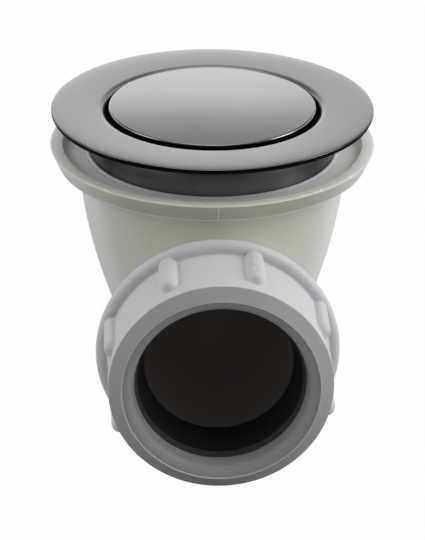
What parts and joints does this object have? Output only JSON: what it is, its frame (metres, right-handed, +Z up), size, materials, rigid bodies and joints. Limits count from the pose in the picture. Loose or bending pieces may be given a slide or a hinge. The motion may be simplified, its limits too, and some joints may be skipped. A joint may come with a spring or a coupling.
{
  "type": "bath waste",
  "caption": "Push-button bath waste: wide round flange with a flush round cap and skirt, over a translucent moulded bowl with a side outlet and a ribbed compression nut.",
  "frame": {"origin": "centre of the flange's seat, level with the surface of the bath", "axes": "+Z up along the bowl's axis, out of the bath's drain hole; -Y along the outlet, out of the nut; +X to the right seen from the outlet"},
  "size_m": [0.0859, 0.1099, 0.0817],
  "materials": {
    "gunmetal": "polished dark gun-metal plating",
    "brass": "turned",
    "steel": "bright stainless",
    "rubber": "matt black",
    "black_plastic": "moulded",
    "white_plastic": "moulded",
    "natural_plastic": "translucent natural moulding",
    "grey_plastic": "satin moulding"
  },
  "bodies": {
    "body": {"drain_body": "natural_plastic", "clamp_insert": "brass", "outlet_seal": "rubber"},
    "flange": {"flange": "gunmetal", "flange_gasket": "rubber", "screw_washer": "steel"},
    "clamp": {"clamp_screw": "brass", "cartridge_body": "brass", "cartridge_gland": "brass", "gland_oring": "rubber", "cam_sleeve": "white_plastic", "return_spring": "steel"},
    "button": {"button_cap": "gunmetal", "seal_carrier": "black_plastic", "plug_seal": "rubber", "cap_locknut": "brass", "plunger": "brass", "rotor_clip": "steel", "spring_seat": "steel"},
    "rotor": {"index_rotor": "white_plastic"},
    "slip": {"slip_ring": "grey_plastic"},
    "nut": {"outlet_nut": "grey_plastic"}
  },
  "joints": [
    {"name": "flange_lift", "type": "slide", "parent": "body", "child": "flange", "axis": [0, 0, 1], "range_m": [0, 0.006]},
    {"name": "screw_turn", "type": "hinge", "parent": "flange", "child": "clamp", "pos_m": [0, 0, -0.04], "axis": [0, 0, 1], "range_deg": [0, 1234.3]},
    {"name": "button_press", "type": "slide", "parent": "clamp", "child": "button", "axis": [0, 0, 1], "range_m": [-0.002, 0.0085], "deforming": ["return_spring"]},
    {"name": "rotor_index", "type": "hinge", "parent": "button", "child": "rotor", "pos_m": [0, 0, -0.024], "axis": [0, 0, 1], "range_deg": [-9, 37]},
    {"name": "nut_travel", "type": "slide", "parent": "body", "child": "slip", "axis": [0, -1, 0], "range_m": [0, 0.0047]},
    {"name": "nut_turn", "type": "hinge", "parent": "slip", "child": "nut", "pos_m": [0, -0.05, -0.0482], "axis": [0, -1, 0], "range_deg": [0, 720]}
  ],
  "couplings": [
    {"joint": "screw_turn", "follows": "flange_lift", "rad_per_m": 3590.4},
    {"joint": "rotor_index", "follows": "button_press", "rad_per_m": 74.8},
    {"joint": "nut_travel", "follows": "nut_turn", "m_per_rad": 0.00036749}
  ]
}
